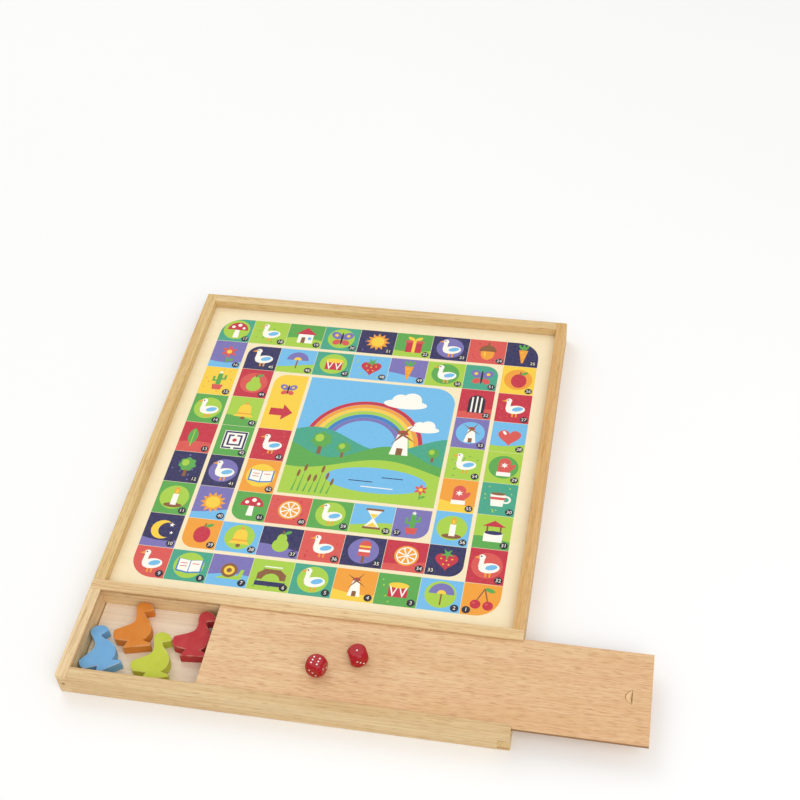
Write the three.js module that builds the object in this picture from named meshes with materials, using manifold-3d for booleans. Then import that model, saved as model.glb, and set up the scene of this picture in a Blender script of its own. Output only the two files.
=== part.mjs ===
// A two-sided board game box. Wooden rails frame a panel that is printed on both faces, and a tray for
// the playing pieces runs along the front edge, closed by a lid that slides in grooves.
// Units are millimetres. X runs along the tray, Y from the tray to the far rail and Z up.
// The origin is the middle of the underside of the divider, the rail between the tray and the panel.

import * as THREE from "three";
import { mergeVertices } from "three/addons/utils/BufferGeometryUtils.js";
import Module from "manifold-3d";

// Frame of rails, finger jointed at the corners
const frameWidth = 300;
const fieldDepth = 287;
const railThickness = 8;
const railHeight = 19;
const fingerHeight = 4.3;
const cornerRadius = 1;
const cornerSteps = 3;

// Panel of board with a printed sheet glued on each face, held in grooves
const panelRecess = 7.5;
const coreThickness = 3.4;
const sheetThickness = 0.3;
const panelGrooveDepth = 4;
const panelEdgeGap = 0.4;
const panelPlay = 0.3;

// Geese, sawn from a plank along an outline drawn on a grid
const gooseHeight = 36;
const gooseThickness = 8;
const gooseSideGap = 0.5;
const gooseRowGap = 2;
const gooseRowStep = 0.57 * gooseHeight;
const outlineSteps = 9;

// Lid that slides in grooves under the rails' rims
const lidThickness = 2.2;
const lidLip = 1.5;
const lidPlay = 0.4;
const lidGrooveDepth = 2.5;
const lidSidePlay = 0.5;
const lidSetback = 2.6;
const lidOpening = 87.6;

// Thumb notch in the lid, sunk by a tilted round cutter
const notchWidth = 10.6;
const notchRun = 4.1;
const notchDepth = 1.6;
const notchInset = 12.7;
const notchSides = 96;

// Tray floor, glued up into a rebate along the rails' undersides
const floorThickness = 2.2;
const floorRecess = 0.4;
const floorLedge = 1.2;
const floorGap = 0.3;
const floorEndGap = 0.9;

// Low wall that closes the tray under the lid's open end
const wallFingerLow = 3;
const wallFingerHeight = 7.2;
const wallFingerPlay = 0.7;
const wallFingerDrop = 1.7;
const wallStubLength = 2.5;

// Pin through the tray's free corner
const pinDiameter = 1.6;
const pinLength = 20;
const pinGap = 0.3;
const pinSides = 12;

// Dice, bulging bodies with six round flats; the bulge is a share of the edge
const dieEdge = 12;
const dieBulge = 1.134;
const dieSquareness = 3;
const dieSides = 40;
const sixDieAlong = 77;
const sixDieAcross = -9.6;
const oneDieAlong = 102;
const oneDieAcross = 1.8;

// Length by which a cutter runs past the face that it opens
const overrun = 1;

const wasm = await Module();
wasm.setup();

// Colours and finishes
function finish(color, roughness) {
  return new THREE.MeshStandardMaterial({ color, roughness, metalness: 0 });
}

const beech = finish(0xdcbb89, 0.6);
const lidVeneer = finish(0xe0b588, 0.55);
const floorPly = finish(0xc79570, 0.7);
const fibreboard = finish(0x8f6a48, 0.85);
const printedPaper = finish(0xf3e9cc, 0.6);
const darkSteel = finish(0x6b5138, 0.5);
const redPlastic = finish(0xb3121d, 0.25);

// Solids
function solid(geometry) {
  geometry.deleteAttribute("normal");
  geometry.deleteAttribute("uv");
  const merged = mergeVertices(geometry);
  const vertProperties = Float32Array.from(merged.attributes.position.array);
  const triVerts = Uint32Array.from(merged.index.array);
  return new wasm.Manifold(new wasm.Mesh({ numProp: 3, vertProperties, triVerts }));
}

function block([left, right], [front, back], [bottom, top]) {
  const box = new THREE.BoxGeometry(right - left, back - front, top - bottom);
  box.translate((left + right) / 2, (front + back) / 2, (bottom + top) / 2);
  return solid(box);
}

function bar(diameter, x, [front, back], z) {
  const cylinder = new THREE.CylinderGeometry(diameter / 2, diameter / 2, back - front, pinSides);
  cylinder.translate(x, (front + back) / 2, z);
  return solid(cylinder);
}

function surface(shape) {
  const mesh = shape.getMesh();
  const geometry = new THREE.BufferGeometry();
  geometry.setAttribute("position", new THREE.BufferAttribute(mesh.vertProperties, 3));
  geometry.setIndex(new THREE.BufferAttribute(mesh.triVerts, 1));
  const faceted = geometry.toNonIndexed();
  faceted.computeVertexNormals();
  return faceted;
}

function piece(parent, name, geometry, material) {
  const mesh = new THREE.Mesh(geometry, material);
  mesh.name = name;
  parent.add(mesh);
  return mesh;
}

// Outline of a goose on its drawing grid, sole on the X axis and bill to the right
const goose = new THREE.Shape();
goose.moveTo(-10, 0);
goose.lineTo(8.6, 0);
goose.lineTo(8.9, 2);
goose.lineTo(3.6, 5);
goose.bezierCurveTo(9.5, 8.5, 11, 15.5, 5.2, 23);
goose.quadraticCurveTo(3.6, 25.2, 3.4, 27.6);
goose.lineTo(9.6, 28.2);
goose.quadraticCurveTo(9.8, 33, 5, 35.2);
goose.bezierCurveTo(1.5, 36.8, -2.6, 35.6, -2.5, 31);
goose.quadraticCurveTo(-2, 26, -2.2, 23.5);
goose.bezierCurveTo(-2.6, 18.5, -8, 18.2, -16.2, 15.2);
goose.quadraticCurveTo(-18, 11, -15.2, 7.2);
goose.lineTo(-6.6, 5.2);
goose.closePath();

const gooseGrid = new THREE.Box2().setFromPoints(goose.getPoints(outlineSteps));
const gooseScale = gooseHeight / (gooseGrid.max.y - gooseGrid.min.y);
const gooseFlock = [
  { name: "goose_blue", color: 0x6ea4d6, turn: 37, along: 0, row: 0, share: 1 },
  { name: "goose_orange", color: 0xd98330, turn: 14, along: 0.45, row: 1, share: 0.25 },
  { name: "goose_green", color: 0xbccb42, turn: 14, along: 0.99, row: 0, share: 1 },
  { name: "goose_red", color: 0xc33d42, turn: 5, along: 1.612, row: 1, share: 1 },
];

for (const bird of gooseFlock) {
  bird.angle = THREE.MathUtils.degToRad(bird.turn);
  const corners = goose.getPoints(outlineSteps).map((point) => point.multiplyScalar(gooseScale));
  const sole = new THREE.Vector2();
  bird.reach = new THREE.Box2().setFromPoints(corners.map((corner) => corner.rotateAround(sole, bird.angle)));
}

// The tray is as deep as two staggered rows of geese
const gooseReach = Math.max(...gooseFlock.map((bird) => bird.reach.max.y - bird.reach.min.y));
const trayDepth = gooseReach + gooseRowStep + 2 * gooseRowGap;

// Places that several pieces share
const outerX = frameWidth / 2;
const innerX = outerX - railThickness;
const dividerBack = railThickness / 2;
const dividerFront = -dividerBack;
const fieldBack = dividerBack + fieldDepth;
const frameBack = fieldBack + railThickness;
const trayFront = dividerFront - trayDepth;
const trayMiddle = (trayFront + dividerFront) / 2;
const frameFront = trayFront - railThickness;
const fingerTop = railHeight - fingerHeight;
const panelTop = railHeight - panelRecess;
const panelBottom = panelTop - coreThickness - 2 * sheetThickness;
const lidGrooveTop = railHeight - lidLip;
const lidBottom = lidGrooveTop - lidPlay - lidThickness;
const lidTop = lidBottom + lidThickness;
const floorTop = floorRecess + floorThickness;
const fullHeight = [0, railHeight];

// Spaces that the rails are cut back for
const panelGroove = block(
  [-innerX - panelGrooveDepth, innerX + panelGrooveDepth],
  [dividerBack - panelGrooveDepth, fieldBack + panelGrooveDepth],
  [panelBottom, panelTop + panelPlay],
);
const lidGroove = block(
  [-innerX - lidGrooveDepth, outerX + overrun],
  [trayFront - lidGrooveDepth, dividerFront + lidGrooveDepth],
  [lidBottom, lidGrooveTop],
);
const floorRebate = block(
  [-innerX, innerX + floorLedge],
  [trayFront - floorLedge, dividerFront + floorLedge],
  [-overrun, floorTop],
);
const pinHole = bar(
  pinDiameter + 2 * pinGap,
  -outerX + railThickness / 2,
  [frameFront - overrun, frameFront + pinLength + pinGap],
  railHeight / 2,
);

// Corners: each cross rail keeps the middle finger, and the side rails close over it above and below
function middleFinger(side, [front, back]) {
  const across = side < 0 ? [-outerX, -innerX] : [innerX, outerX];
  return block(across, [front, back], [fingerHeight, fingerTop]);
}

function sideFingers(side, [front, back]) {
  const across = side < 0 ? [-outerX - overrun, -innerX] : [innerX, outerX + overrun];
  const deep = [front - overrun, back + overrun];
  const low = block(across, deep, [-overrun, fingerHeight]);
  return low.add(block(across, deep, [fingerTop, railHeight + overrun]));
}

// Upright block with the frame's outline, which rounds over the four corners
const outline = new THREE.Shape();
outline.absarc(outerX - cornerRadius, frameFront + cornerRadius, cornerRadius, -Math.PI / 2, 0);
outline.absarc(outerX - cornerRadius, frameBack - cornerRadius, cornerRadius, 0, Math.PI / 2);
outline.absarc(-outerX + cornerRadius, frameBack - cornerRadius, cornerRadius, Math.PI / 2, Math.PI);
outline.absarc(-outerX + cornerRadius, frameFront + cornerRadius, cornerRadius, Math.PI, 1.5 * Math.PI);
outline.closePath();
const upright = new THREE.ExtrudeGeometry(outline, {
  depth: railHeight + 2 * overrun,
  curveSegments: cornerSteps,
  bevelEnabled: false,
});
upright.translate(0, 0, -overrun);
const roundedFrame = solid(upright);

const backSpan = [fieldBack, frameBack];
const frontSpan = [frameFront, trayFront];
const board = new THREE.Group();

// Far rail and the two long side rails
let backRail = block([-outerX, outerX], backSpan, fullHeight);
backRail = backRail.subtract(sideFingers(-1, backSpan)).subtract(sideFingers(1, backSpan));
piece(board, "back_rail", surface(backRail.subtract(panelGroove).intersect(roundedFrame)), beech);

for (const [name, side] of [["left_rail", -1], ["right_rail", 1]]) {
  const across = side < 0 ? [-outerX, -innerX] : [innerX, outerX];
  let rail = block(across, [dividerBack, frameBack], fullHeight);
  rail = rail.subtract(middleFinger(side, backSpan)).subtract(panelGroove);
  piece(board, name, surface(rail.intersect(roundedFrame)), beech);
}

// Low wall at the tray's open end, with a finger through the front rail and a stub in the divider
const wallFinger = block(
  [innerX, outerX],
  [frameFront, dividerFront + wallStubLength],
  [wallFingerLow, wallFingerLow + wallFingerHeight],
);
const wallNotch = block(
  [innerX, outerX],
  [frameFront, dividerFront + wallStubLength],
  [wallFingerLow - wallFingerDrop, wallFingerLow + wallFingerHeight + wallFingerPlay],
);
const wall = block([innerX, outerX], [trayFront, dividerFront], [0, lidBottom - lidPlay]);
const endWall = wall.add(wallFinger).subtract(floorRebate);
piece(board, "tray_end_wall", surface(endWall.intersect(roundedFrame)), beech);

// Divider, which runs through to both outer faces
let divider = block([-outerX, outerX], [dividerFront, dividerBack], fullHeight);
divider = divider.subtract(panelGroove).subtract(lidGroove).subtract(floorRebate);
piece(board, "divider", surface(divider.subtract(wallNotch)), beech);

// Front rail and the short side rail at the tray's closed end
let frontRail = block([-outerX, outerX], frontSpan, fullHeight);
frontRail = frontRail.subtract(sideFingers(-1, frontSpan)).subtract(lidGroove).subtract(floorRebate);
frontRail = frontRail.subtract(wallNotch).subtract(pinHole);
piece(board, "front_rail", surface(frontRail.intersect(roundedFrame)), beech);

let trayRail = block([-outerX, -innerX], [frameFront, dividerFront], fullHeight);
trayRail = trayRail.subtract(middleFinger(-1, frontSpan)).subtract(lidGroove);
piece(board, "tray_side_rail", surface(trayRail.subtract(pinHole).intersect(roundedFrame)), beech);

// Pin driven through the front rail's finger into the end of the short side rail
const pin = bar(pinDiameter, -outerX + railThickness / 2, [frameFront, frameFront + pinLength], railHeight / 2);
piece(board, "corner_pin", surface(pin), darkSteel);

// Panel and its printed sheets
const panelX = [-innerX - panelGrooveDepth + panelEdgeGap, innerX + panelGrooveDepth - panelEdgeGap];
const panelY = [dividerBack - panelGrooveDepth + panelEdgeGap, fieldBack + panelGrooveDepth - panelEdgeGap];
const coreBottom = panelBottom + sheetThickness;
const coreTop = coreBottom + coreThickness;
piece(board, "panel_core", surface(block(panelX, panelY, [coreBottom, coreTop])), fibreboard);
piece(board, "goose_sheet", surface(block(panelX, panelY, [coreTop, panelTop])), printedPaper);
piece(board, "ludo_sheet", surface(block(panelX, panelY, [panelBottom, coreBottom])), printedPaper);

// Tray floor
const floorX = [-innerX + floorEndGap, innerX + floorLedge - floorGap];
const floorY = [trayFront - floorLedge + floorGap, dividerFront + floorLedge - floorGap];
piece(board, "tray_floor", surface(block(floorX, floorY, [floorRecess, floorTop])), floorPly);

// Lid, drawn shut and then slid open
const lidLeft = -innerX - lidGrooveDepth + lidPlay;
const lidRight = outerX - lidSetback;
const lidFront = trayFront - lidGrooveDepth + lidSidePlay;
const lidBack = dividerFront + lidGrooveDepth - lidSidePlay;
const cutterRadius = (notchWidth ** 2 / 4 + notchDepth ** 2) / (2 * notchDepth);
const cutterTilt = Math.atan2(notchDepth, notchRun);
const cutterLength = 2 * cutterRadius;
const cutter = new THREE.CylinderGeometry(cutterRadius, cutterRadius, cutterLength, notchSides);
cutter.rotateZ(Math.PI / 2);
cutter.translate(-cutterLength / 2, 0, cutterRadius);
cutter.rotateY(cutterTilt);
cutter.translate(lidRight - notchInset, trayMiddle, lidTop - notchDepth);
const lidBoard = block([lidLeft, lidRight], [lidFront, lidBack], [lidBottom, lidTop]);
const lid = new THREE.Group();
lid.position.x = lidOpening;
piece(lid, "lid", surface(lidBoard.subtract(solid(cutter))), lidVeneer);
board.add(lid);

// Geese, lying in the open end of the tray with their soles towards the front
for (const bird of gooseFlock) {
  const plank = new THREE.ExtrudeGeometry(goose, {
    depth: gooseThickness / gooseScale,
    curveSegments: outlineSteps,
    bevelEnabled: false,
  });
  plank.scale(gooseScale, gooseScale, gooseScale);
  const shape = piece(board, bird.name, surface(solid(plank)), finish(bird.color, 0.5));
  const left = -innerX + gooseSideGap + bird.along * gooseHeight;
  const front = trayFront + bird.share * gooseRowGap;
  const back = dividerFront - bird.share * gooseRowGap;
  const sole = bird.row === 0 ? front - bird.reach.min.y : back - bird.reach.max.y;
  shape.position.set(left - bird.reach.min.x, sole, floorTop);
  shape.rotation.z = bird.angle;
}

// Dice, left lying on the lid
function pillow() {
  const geometry = new THREE.SphereGeometry((dieBulge * dieEdge) / 2, dieSides, dieSides / 2);
  const points = geometry.attributes.position;
  for (let i = 0; i < points.count; i += 1) {
    const point = new THREE.Vector3().fromBufferAttribute(points, i);
    const way = point.clone().normalize().toArray();
    const sum = way.reduce((total, part) => total + Math.abs(part) ** dieSquareness, 0);
    point.divideScalar(sum ** (1 / dieSquareness));
    points.setXYZ(i, point.x, point.y, point.z);
  }
  return geometry;
}

const diePlaces = [
  { name: "die_six", along: sixDieAlong, across: sixDieAcross, turn: -24 },
  { name: "die_one", along: oneDieAlong, across: oneDieAcross, turn: 16 },
];

for (const place of diePlaces) {
  const ball = solid(pillow());
  const cube = block([-dieEdge / 2, dieEdge / 2], [-dieEdge / 2, dieEdge / 2], [-dieEdge / 2, dieEdge / 2]);
  const die = piece(lid, place.name, surface(ball.intersect(cube)), redPlastic);
  die.position.set(lidLeft + place.along, trayMiddle + place.across, lidTop + dieEdge / 2);
  die.rotation.z = THREE.MathUtils.degToRad(place.turn);
}

export default board;
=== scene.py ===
import math
import random

import bpy
from mathutils import Matrix, Vector


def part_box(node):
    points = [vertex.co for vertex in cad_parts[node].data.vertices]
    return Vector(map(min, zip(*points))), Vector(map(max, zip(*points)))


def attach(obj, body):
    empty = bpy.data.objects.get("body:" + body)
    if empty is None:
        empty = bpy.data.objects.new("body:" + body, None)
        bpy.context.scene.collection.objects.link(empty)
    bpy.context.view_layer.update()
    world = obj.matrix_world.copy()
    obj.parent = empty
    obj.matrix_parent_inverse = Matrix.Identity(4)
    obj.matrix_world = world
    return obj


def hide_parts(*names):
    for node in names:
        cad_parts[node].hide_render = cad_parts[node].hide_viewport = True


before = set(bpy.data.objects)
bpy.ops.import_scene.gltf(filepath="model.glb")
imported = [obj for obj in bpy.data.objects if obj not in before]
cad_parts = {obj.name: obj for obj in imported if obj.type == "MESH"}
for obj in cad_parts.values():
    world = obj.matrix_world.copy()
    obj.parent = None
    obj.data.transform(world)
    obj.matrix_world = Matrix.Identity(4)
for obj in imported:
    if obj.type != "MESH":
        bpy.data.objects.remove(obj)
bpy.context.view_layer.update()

# Studio: the box lies on a pale seamless floor. A broad soft lamp hangs in front of it on the
# right, a weaker one fills from behind, and the rest is even light from all round.
mm = 0.001
scene = bpy.context.scene
scene.view_settings.view_transform = "Standard"


class Value:
    """A shader socket that takes part in sums written in Python."""

    def __init__(self, finish, socket):
        self.finish = finish
        self.socket = socket

    def work(self, operation, first, second):
        return self.finish.node("ShaderNodeMath", {"operation": operation}, {0: first, 1: second})

    def __add__(self, other):
        return self.work("ADD", self, other)

    def __sub__(self, other):
        return self.work("SUBTRACT", self, other)

    def __rsub__(self, other):
        return self.work("SUBTRACT", other, self)

    def __mul__(self, other):
        return self.work("MULTIPLY", self, other)

    __radd__ = __add__
    __rmul__ = __mul__


class Finish:
    """A material: one method adds any node, and another feeds the shader's own sockets."""

    def __init__(self, name):
        self.material = bpy.data.materials.new(name)
        self.material.use_nodes = True
        self.tree = self.material.node_tree
        self.shader = self.tree.nodes["Principled BSDF"]

    def feed(self, socket, value):
        if isinstance(value, Value):
            self.tree.links.new(value.socket, socket)
        else:
            socket.default_value = value

    def node(self, kind, settings=None, sockets=None, output=0):
        made = self.tree.nodes.new(kind)
        for setting, value in (settings or {}).items():
            setattr(made, setting, value)
        for socket, value in (sockets or {}).items():
            self.feed(made.inputs[socket], value)
        return Value(self, made.outputs[output])

    def mix(self, amount, first, second):
        sockets = {0: amount, 6: first, 7: second}
        return self.node("ShaderNodeMix", {"data_type": "RGBA"}, sockets, 2)

    def noise(self, stretch, detail=2.0, roughness=0.5):
        place = self.node("ShaderNodeTexCoord", output="Object")
        place = self.node("ShaderNodeMapping", None, {"Vector": place, "Scale": stretch})
        sockets = {"Vector": place, "Scale": 1.0, "Detail": detail, "Roughness": roughness}
        return self.node("ShaderNodeTexNoise", None, sockets)

    def fade(self, value, low, high):
        return self.node("ShaderNodeMapRange", None, {"Value": value, 1: low, 2: high})

    def bump(self, height, strength, depth):
        sockets = {"Height": height, "Strength": strength, "Distance": depth}
        return self.node("ShaderNodeBump", None, sockets)

    def shade(self, sockets):
        for socket, value in sockets.items():
            self.feed(self.shader.inputs[socket], value)
        return self.material


def tone(code):
    """A colour written as six hex digits, turned to the linear values a shader takes."""
    shares = [int(code[i:i + 2], 16) / 255 for i in (0, 2, 4)]
    return tuple(s / 12.92 if s <= 0.04045 else ((s + 0.055) / 1.055) ** 2.4 for s in shares) + (1.0,)


floor_size = 8.0
floor_drop = 0.1 * mm
floor_rough = 0.95
bpy.ops.object.select_all(action="DESELECT")
bpy.ops.mesh.primitive_plane_add(size=floor_size, location=(0, 0, -floor_drop))
studio_floor = bpy.context.object
studio_floor.name = "studio_floor"
card = Finish("studio_card")
card_mottle = card.noise((3, 3, 3))
card_white = card.mix(card_mottle, tone("f9f9f8"), tone("fbfbfa"))
studio_floor.data.materials.append(card.shade({"Base Color": card_white, "Roughness": floor_rough}))

sky_level = 0.70
world = bpy.data.worlds.new("studio_light")
world.use_nodes = True
sky = world.node_tree.nodes["Background"]
sky.inputs["Color"].default_value = (1, 1, 1, 1)
sky.inputs["Strength"].default_value = sky_level
scene.world = world

aim = Vector((0.0, 0.1, 0.0))
lamps = [
    ("key_lamp", (1.0, -1.3, 1.9), 1.8, 24.0),
    ("fill_lamp", (-0.9, 1.2, 1.7), 1.4, 8.0),
]
for lamp_name, lamp_place, lamp_size, lamp_power in lamps:
    bpy.ops.object.light_add(type="AREA", location=lamp_place)
    lamp = bpy.context.object
    lamp.name = lamp_name
    lamp.data.size = lamp_size
    lamp.data.energy = lamp_power
    lamp.rotation_euler = (aim - Vector(lamp_place)).to_track_quat("-Z", "Y").to_euler()

camera_place = (199.7 * mm, -501.2 * mm, 778.1 * mm)
camera_turn = 0.1270
camera_tilt = 0.7558
camera_swing = 0.0749
camera_lens = 61.3
camera_back = 36.0
bpy.ops.object.camera_add(location=camera_place)
camera = bpy.context.object
camera.data.lens = camera_lens
camera.data.sensor_width = camera_back
camera.data.clip_start = 10 * mm
aimed = Matrix.Rotation(camera_turn, 4, "Z") @ Matrix.Rotation(camera_tilt, 4, "X")
aimed = Matrix.Translation(camera_place) @ aimed @ Matrix.Rotation(camera_swing, 4, "Y")
camera.matrix_world = aimed
scene.camera = camera

# Frame: seven beech rails, planed square and finger-jointed at the corners, with the arrises
# lightly sanded. Each is sawn from its own board, so their tones differ. The grain runs along
# the rail, and its darker end shows in the corner fingers.
edge_ease = 0.28 * mm
wood_sheen = 0.3
wood_rough = 0.5
line_rough = 0.14
grain_dark = tone("a8753f")
band_fine = 110
band_long = 5
line_fine = 700
line_long = 11
fleck_fine = 1500
fleck_long = 110
line_strength = 0.46
fleck_strength = 0.5
end_strength = 0.14
grain_depth = 0.07 * mm
weld_gap = 0.001 * mm
flat_angle = math.radians(0.5)
arris_angle = math.radians(35)
smooth_angle = math.radians(60)


def wood(name, along, pale, mid, seed):
    """Planed wood whose grain runs along one axis: soft bands, fine lines and short flecks."""
    def stretch(fine, coarse):
        return tuple(coarse if axis == along else fine for axis in "XYZ")

    finish = Finish(name)
    bands = finish.fade(finish.noise(stretch(band_fine + seed, band_long), 3.0), 0.3, 0.7)
    lines = finish.fade(finish.noise(stretch(line_fine, line_long + seed), 4.0, 0.65), 0.42, 0.72)
    flecks = finish.fade(finish.noise(stretch(fleck_fine, fleck_long), 1.0), 0.56, 0.74)
    colour = finish.mix(bands, pale, mid)
    colour = finish.mix(lines * line_strength, colour, grain_dark)
    colour = finish.mix(flecks * fleck_strength, colour, grain_dark)
    facing = finish.node("ShaderNodeTexCoord", output="Normal")
    facing = finish.node("ShaderNodeSeparateXYZ", None, {0: facing}, along)
    facing = finish.node("ShaderNodeMath", {"operation": "ABSOLUTE"}, {0: facing})
    colour = finish.mix(finish.fade(facing, 0.6, 0.95) * end_strength, colour, grain_dark)
    rough = lines * line_rough + wood_rough
    relief = finish.bump(1 - (lines * 0.5 + flecks), 0.3, grain_depth)
    sockets = {"Base Color": colour, "Roughness": rough, "Normal": relief}
    return finish.shade({**sockets, "Specular IOR Level": wood_sheen})


def smoothed(piece, angle):
    """Smooth shading that keeps broad faces flat, so that only the small faces of an edge turn."""
    bpy.ops.object.shade_smooth_by_angle(angle=angle)
    weighted = piece.modifiers.new("weighted", "WEIGHTED_NORMAL")
    weighted.keep_sharp = True
    bpy.ops.object.modifier_apply(modifier=weighted.name)


def dressed(node, name, ease, skins, steps=2, clamped=True):
    """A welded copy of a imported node, its arrises eased; the last skin given covers those."""
    bpy.ops.object.select_all(action="DESELECT")
    piece = bpy.data.objects.new(name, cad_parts[node].data.copy())
    piece.data.materials.clear()
    for skin in skins:
        piece.data.materials.append(skin)
    scene.collection.objects.link(piece)
    bpy.context.view_layer.objects.active = piece
    piece.select_set(True)
    bpy.ops.object.mode_set(mode="EDIT")
    bpy.ops.mesh.select_all(action="SELECT")
    bpy.ops.mesh.remove_doubles(threshold=weld_gap)
    bpy.ops.mesh.customdata_custom_splitnormals_clear()
    bpy.ops.mesh.dissolve_limited(angle_limit=flat_angle)
    bpy.ops.object.mode_set(mode="OBJECT")
    eased = piece.modifiers.new("eased", "BEVEL")
    eased.width = ease
    eased.segments = steps
    eased.limit_method = "ANGLE"
    eased.angle_limit = arris_angle
    eased.material = len(skins) - 1
    eased.use_clamp_overlap = clamped
    bpy.ops.object.modifier_apply(modifier=eased.name)
    smoothed(piece, smooth_angle)
    return piece


rails = [
    ("back_rail", "X", "e7cd98", "dcb97f"),
    ("divider", "X", "f0d6a6", "e5c28d"),
    ("front_rail", "X", "e3c99a", "d8b581"),
    ("left_rail", "Y", "e7cc93", "dcb87a"),
    ("right_rail", "Y", "e3be84", "d8aa6b"),
    ("tray_side_rail", "Y", "f2daad", "e7c694"),
    ("tray_end_wall", "Y", "e7cc93", "dcb87a"),
]
for board, (rail_node, along, pale, mid) in enumerate(rails):
    beech = wood("beech_board_" + str(board), along, tone(pale), tone(mid), board)
    rail = dressed(rail_node, rail_node + "_wood", edge_ease, [beech], clamped=False)
    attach(rail, "box")
    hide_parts(rail_node)

# Corner pin: a thin steel brad, driven through the front rail into the tray's side rail.
# Its head lies flush and has gone dark.
pin_steel = Finish("pin_steel")
pin_mottle = pin_steel.noise((900, 900, 900))
pin_colour = pin_steel.mix(pin_mottle, tone("a07c50"), tone("b48f62"))
pin_rough = pin_mottle * 0.2 + 0.4
pin_sockets = {"Base Color": pin_colour, "Roughness": pin_rough, "Metallic": 0.6}
pin_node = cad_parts["corner_pin"]
pin_node.data.materials.clear()
pin_node.data.materials.append(pin_steel.shade(pin_sockets))

# Panel: a sheet of fibreboard held in the grooves of the rails, with printed paper glued to
# both faces. The core shows only at its edges, inside the grooves.
fibreboard = Finish("fibreboard")
fibre_mottle = fibreboard.noise((800, 800, 400), 3.0)
fibre_colour = fibreboard.mix(fibre_mottle, tone("7d5b3c"), tone("9a7350"))
core_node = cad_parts["panel_core"]
core_node.data.materials.clear()
core_node.data.materials.append(fibreboard.shade({"Base Color": fibre_colour, "Roughness": 0.85}))

paper = Finish("printed_paper")
paper_mottle = paper.fade(paper.noise((160, 160, 160), 4.0), 0.3, 0.7)
paper_colour = paper.mix(paper_mottle, tone("f7e8c4"), tone("f5e4bc"))
paper_skin = paper.shade({"Base Color": paper_colour, "Roughness": 0.55, "Specular IOR Level": 0.3})
for sheet_name in ("goose_sheet", "ludo_sheet"):
    sheet_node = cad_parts[sheet_name]
    sheet_node.data.materials.clear()
    sheet_node.data.materials.append(paper_skin)

# Goose print: the upper paper carries a goose race of sixty-three numbered spaces in full
# colour, two and a half laps round a picture. Each ink is a thin film on the paper.
film = 0.012 * mm
film_bite = 0.02 * mm
ink_cover = 0.96
paper_tint = tone("f6ecd0")
figure_steps = 3
inks = {
    "sky": "72bce8",
    "teal": "43a587",
    "green": "5aa84c",
    "lime": "a9cf45",
    "yellow": "f8cf40",
    "orange": "f1a034",
    "red": "c62d42",
    "coral": "da5650",
    "purple": "7a72b4",
    "navy": "2c2a5c",
    "blue": "3c7fc0",
    "brown": "8b5a36",
    "dark": "221f33",
    "white": "fdf8ec",
}


def ink_finish(name):
    """Printing ink: even, with the slight mottle of a litho plate, and a satin face."""
    finish = Finish("ink_" + name)
    mottle = finish.fade(finish.noise((420, 420, 420), 3.0), 0.25, 0.75)
    full = tone(inks[name])
    light = tuple(ink_cover * ink + (1 - ink_cover) * bare for ink, bare in zip(full, paper_tint))
    sockets = {"Base Color": finish.mix(mottle, full, light), "Roughness": 0.5}
    return finish.shade({**sockets, "Specular IOR Level": 0.25})


ink_skins = {name: ink_finish(name) for name in inks}


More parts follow.
